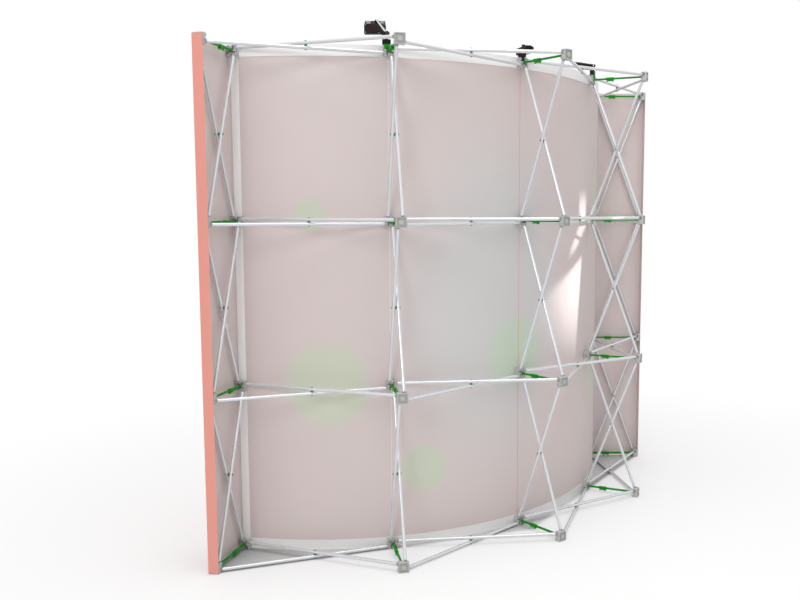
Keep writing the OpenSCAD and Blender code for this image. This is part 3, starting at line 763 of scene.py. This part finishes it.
    def screws(self, mesh, look):
        """Four slotted screws on the back, each a disc with a raised bar on both sides of its slot."""
        radius, height, sides = 0.0017, 0.0008, 20
        bar, bar_offset, skin = Vector((0.0012, 0.0005, 0.0022)), 0.0009, 0.0001
        back = look.head_depth / 2 + skin
        for x, z in ((0.088, 0.0035), (0.088, 0.0365), (0.008, 0.0365), (0.030, 0.0028)):
            centre = Vector((x, back, LAMP_STAND + z))
            add_rod(mesh, centre, centre + Vector((0, height, 0)), radius, sides)
            for side in (-1, 1):
                low = centre + Vector((side * bar_offset - bar.x / 2, height + 0.00002, -bar.z / 2))
                add_block(mesh, low, low + bar)

    def knob(self, mesh, look):
        """The tilt knob on the pivot, with grip lobes and a low boss."""
        steps, lobes, radius, lobe = 48, 8, 0.0058, 0.0006
        start, thickness = 0.0140, 0.0055
        boss_start, boss_end, boss_radius, boss_tip = 0.01955, 0.0204, 0.0035, 0.003
        points = []
        for angle in (math.tau * step / steps for step in range(steps)):
            reach = radius + lobe * math.cos(lobes * angle)
            points.append((start, reach * math.cos(angle), reach * math.sin(angle)))
        add_prism(mesh, points, (thickness, 0, 0))
        add_rod(mesh, (boss_start, 0, 0), (boss_end, 0, 0), boss_radius, 24, boss_tip)

    def ring(self, mesh, look):
        """The knurled ring where the neck enters the base."""
        teeth, bore, radius, tooth = 36, 0.00755, 0.0079, 0.0004
        foot, height = -0.0145, 0.0045
        inner = bmesh.ops.create_circle(mesh, segments=2 * teeth, radius=bore)["verts"]
        outer = bmesh.ops.create_circle(mesh, segments=2 * teeth, radius=radius)["verts"]
        for vert in outer[1::2]:
            vert.co *= (radius + tooth) / radius
        bmesh.ops.translate(mesh, vec=(0, 0, foot), verts=inner + outer)
        band = bmesh.ops.bridge_loops(mesh, edges=mesh.edges[:])["faces"]
        made = bmesh.ops.extrude_face_region(mesh, geom=band, use_keep_orig=True)
        top = [one for one in made["geom"] if isinstance(one, bmesh.types.BMVert)]
        bmesh.ops.translate(mesh, vec=(0, 0, height), verts=top)


class BACKWALL_OT_build_studio(Operator):
    """Build the floor, the lights and the camera"""

    bl_idname = "backwall.build_studio"
    bl_label = "Build the studio"

    def execute(self, context):
        scene = context.scene
        look = scene.studio_set
        scene.view_settings.view_transform = "Standard"
        self.add_floor(look)
        self.add_sky(scene, look)
        self.add_light("key light", place=(7.6, 4.7, 5.2), target=(0.2, 0.0, 1.1), size=3.0,
                       power=look.key_power)
        self.add_light("top light", place=(0.3, 1.2, 7.0), target=(0.3, 1.2, 0.0), size=6.0,
                       power=look.top_power)
        self.add_spot("glow high", place=(-0.95, 1.05, 1.95), target=(-0.56, 0.03, 1.52),
                      power=look.glow_power * 1.1, pattern=self.streak)
        self.add_spot("glow low", place=(-0.86, 1.20, 1.30), target=(-0.454, 0.072, 1.129),
                      power=look.glow_power * 1.2, pattern=self.patch)
        self.add_camera(scene)
        return {"FINISHED"}

    def add_camera(self, scene):
        """The reference view, tilted a little down."""
        camera = bpy.data.cameras.new("camera")
        camera.lens = CAMERA_LENS
        camera.sensor_width = CAMERA_SENSOR
        camera.shift_x, camera.shift_y = CAMERA_SHIFT
        camera.clip_end = 200.0
        view = bpy.data.objects.new("camera", camera)
        view.location = CAMERA_PLACE
        level = math.cos(CAMERA_PITCH)
        forward = Vector((-math.sin(CAMERA_YAW) * level, -math.cos(CAMERA_YAW) * level,
                          -math.sin(CAMERA_PITCH)))
        view.rotation_euler = forward.to_track_quat("-Z", "Y").to_euler()
        scene.collection.objects.link(view)
        scene.camera = view

    def add_floor(self, look):
        """A pale floor with painted shade in corners and under tubes, fading to white away from the
        backwall.
        """
        mesh = bmesh.new()
        bmesh.ops.create_grid(mesh, x_segments=4, y_segments=4, size=30.0)
        data = bpy.data.meshes.new("studio floor")
        mesh.to_mesh(data)
        mesh.free()
        floor = bpy.data.objects.new("studio_floor", data)
        bpy.context.scene.collection.objects.link(floor)
        finish = Finish("studio floor", look.floor_colour, 0.6)
        seen = finish.node("ShaderNodeLightPath").outputs["Is Camera Ray"]
        outside = self.outside(finish)
        # Painted shade: ambient occlusion darkens the floor's own colour near walls and under tubes,
        # most of all under the lattice. The share that stays unshaded is 1 on open floor and less
        # where the shade is painted.
        painted_shade_inside, painted_shade_outside, painted_shade_unseen = 1.0, 0.2, 0.3
        painted_shade_occlusion = finish.node("ShaderNodeAmbientOcclusion", samples=8)
        painted_shade_occlusion.inputs["Distance"].default_value = look.painted_shade_reach
        depth = finish.between(outside, painted_shade_inside, painted_shade_outside)
        depth = finish.math("MULTIPLY", finish.between(seen, painted_shade_unseen, depth), look.painted_shade_depth)
        unshaded = finish.math("POWER", painted_shade_occlusion.outputs["AO"], depth)
        finish.paint(finish.mix(unshaded, opaque(shade(look.floor_colour, 0.08)),
                                finish.tint(0.4, 0.003)))
        # White light of its own washes it out: a little inside, more outside, and all far away, but
        # less where the shade is painted.
        glow_inside, fade_start = 0.1, 1.2
        away = finish.node("ShaderNodeVectorMath", operation="LENGTH")
        finish.feed(away.inputs[0], finish.place)
        glow = finish.math("MULTIPLY", unshaded,
                           finish.between(outside, glow_inside, look.floor_glow))
        fading = finish.between(away.outputs["Value"], glow, 1.0, fade_start, look.fade_distance,
                                smooth=True)
        mixed = finish.node("ShaderNodeMixShader")
        finish.feed(mixed.inputs[0], finish.math("MULTIPLY", fading, seen))
        finish.feed(mixed.inputs[1], finish.shader.outputs[0])
        finish.feed(mixed.inputs[2], finish.node("ShaderNodeEmission").outputs[0])
        finish.feed(finish.tree.nodes["Material Output"].inputs["Surface"], mixed.outputs[0])
        data.materials.append(finish.material)

    def outside(self, finish):
        """0 on the floor that the lattice covers and 1 beyond it, softened between the two."""
        # The line of the lowest cross tube beside an end column: its normal and its distance.
        line_aside, line_back, line_distance = 0.331, 0.944, 0.2241
        across, back, _ = finish.parts(finish.place)
        aside = finish.math("ABSOLUTE", across)
        beyond = finish.math("MULTIPLY_ADD", back, line_back,
                             finish.math("MULTIPLY_ADD", aside, line_aside, -line_distance))
        from_centre = finish.math("ADD", back, CURVE_CENTRE)
        turn = finish.math("ARCTAN2", aside, from_centre)
        last_turn = column_turn(1) + 0.01
        behind = finish.between(beyond, 0.0, 1.0, -0.01, 0.03, smooth=True)
        beside = finish.between(turn, 0.0, 1.0, last_turn, last_turn + 0.01)
        in_front = finish.between(finish.length(aside, from_centre), 1.0, 0.0,
                                  FILM_INNER - 0.012, FILM_INNER)
        return finish.math("MAXIMUM", behind, finish.math("MAXIMUM", beside, in_front))

    def add_sky(self, scene, look):
        """Even light from all round, plain white where it is seen, mirrored or looked through."""
        world = bpy.data.worlds.new("studio sky")
        scene.world = world
        world.use_nodes = True
        nodes = Nodes(world.node_tree)
        background = nodes.tree.nodes["Background"]
        background.inputs["Color"].default_value = opaque((1, 1, 1))
        ray = nodes.node("ShaderNodeLightPath").outputs
        seen = nodes.math("MAXIMUM", ray["Is Camera Ray"], ray["Is Glossy Ray"])
        seen = nodes.math("MAXIMUM", seen, ray["Is Transmission Ray"])
        nodes.feed(background.inputs["Strength"], nodes.between(seen, look.sky_strength, 1.0))

    def add_light(self, name, place, target, size, power):
        """A round soft light."""
        data = bpy.data.lights.new(name, "AREA")
        data.shape = "DISK"
        data.size = size
        data.energy = power
        self.aim(data, place, target)

    def add_spot(self, name, place, target, power, pattern):
        """A spot that lays a shaped glow on the film."""
        data = bpy.data.lights.new(name, "SPOT")
        data.spot_size = math.radians(60.0)
        data.spot_blend = 0.2
        data.shadow_soft_size = 0.012
        data.energy = power
        data.use_nodes = True
        nodes = Nodes(data.node_tree)
        x, y, z = nodes.parts(nodes.node("ShaderNodeTexCoord").outputs["Normal"])
        ahead = nodes.math("ABSOLUTE", z)
        strength = pattern(nodes, nodes.math("DIVIDE", x, ahead), nodes.math("DIVIDE", y, ahead))
        nodes.feed(nodes.tree.nodes["Emission"].inputs["Strength"], strength)
        self.aim(data, place, target)

    def aim(self, data, place, target):
        """Sets a light up in its place, turned to its target."""
        light = bpy.data.objects.new(data.name, data)
        light.location = place
        direction = Vector(target) - Vector(place)
        light.rotation_euler = direction.to_track_quat("-Z", "Y").to_euler()
        bpy.context.scene.collection.objects.link(light)

    # Places in the patterns are slopes off a spot's axis: how far aside and above at 1 m ahead.
    def patch(self, nodes, aside, above):
        """A patch with a straight side, a slanting top and a long fade."""
        side_at, side_slant, top_at, top_slant = 0.088, 0.155, 0.107, 0.38
        soft_at, soft_slant = 0.032, 0.22
        middle, stretch, fade_start, fade_end = 0.09, 1.15, 0.06, 0.40
        past_side = nodes.math("MULTIPLY_ADD", above, -side_slant,
                               nodes.math("SUBTRACT", aside, side_at))
        side = nodes.between(past_side, 1.0, 0.0, -0.009, 0.005, smooth=True)
        past_top = nodes.math("MULTIPLY_ADD", aside, -top_slant,
                              nodes.math("SUBTRACT", above, top_at))
        softness = nodes.math("MULTIPLY_ADD", aside, -soft_slant, soft_at)
        top = nodes.between(nodes.math("DIVIDE", past_top, softness), 1.0, 0.0, -1.0, 0.1,
                            smooth=True)
        away = nodes.length(nodes.math("SUBTRACT", aside, middle),
                            nodes.math("MULTIPLY", above, stretch))
        fade = nodes.between(away, 1.0, 0.0, fade_start, fade_end, smooth=True)
        return nodes.math("MULTIPLY", nodes.math("MULTIPLY", side, top), fade)

    def streak(self, nodes, aside, above):
        """An upright streak whose foot bends aside and narrows."""
        bend_at, bend, narrowing, middle_at, half_width = -0.045, 1.17, 0.25, 0.021, 0.055
        foot = nodes.math("MINIMUM", nodes.math("SUBTRACT", above, bend_at), 0.0)
        middle = nodes.math("MULTIPLY_ADD", foot, bend, middle_at)
        off_middle = nodes.math("ABSOLUTE", nodes.math("SUBTRACT", aside, middle))
        share = nodes.math("DIVIDE", off_middle,
                           nodes.math("MULTIPLY_ADD", foot, narrowing, half_width))
        across = nodes.between(share, 1.0, 0.0, 0.4, 1.2, smooth=True)
        top = nodes.between(above, 1.0, 0.0, 0.02, 0.12, smooth=True)
        end = nodes.between(above, 0.0, 1.0, -0.175, -0.12, smooth=True)
        return nodes.math("MULTIPLY", nodes.math("MULTIPLY", across, top), end)


class BACKWALL_PT_sidebar(Panel):
    """Lists the steps that dress the backwall"""

    bl_idname = "BACKWALL_PT_sidebar"
    bl_label = "Backwall"
    bl_space_type = "VIEW_3D"
    bl_region_type = "UI"
    bl_category = "Backwall"

    def draw(self, context):
        for step in STEPS:
            self.layout.operator(step.bl_idname)
        for group in GROUPS:
            settings = getattr(context.scene, group)
            self.layout.label(text=group.replace("_", " ").capitalize())
            for name in settings.bl_rna.properties.keys():
                if name not in ("rna_type", "name"):
                    self.layout.prop(settings, name)


GROUPS = {
    "lattice_finishes": LatticeFinishes,
    "printed_film": PrintedFilm,
    "lamp_parts": LampParts,
    "studio_set": StudioSet,
}
STEPS = (
    BACKWALL_OT_finish_hubs,
    BACKWALL_OT_finish_tubes,
    BACKWALL_OT_finish_locks,
    BACKWALL_OT_finish_panels,
    BACKWALL_OT_finish_end_panels,
    BACKWALL_OT_build_lamps,
    BACKWALL_OT_build_studio,
)


def register():
    for one in (*GROUPS.values(), *STEPS, BACKWALL_PT_sidebar):
        bpy.utils.register_class(one)
    for name, group in GROUPS.items():
        setattr(bpy.types.Scene, name, PointerProperty(type=group))


def unregister():
    for name in GROUPS:
        delattr(bpy.types.Scene, name)
    for one in reversed((*GROUPS.values(), *STEPS, BACKWALL_PT_sidebar)):
        bpy.utils.unregister_class(one)


def main():
    register()
    for step in STEPS:
        group, name = step.bl_idname.split(".")
        getattr(getattr(bpy.ops, group), name)()


if __name__ == "__main__":
    main()
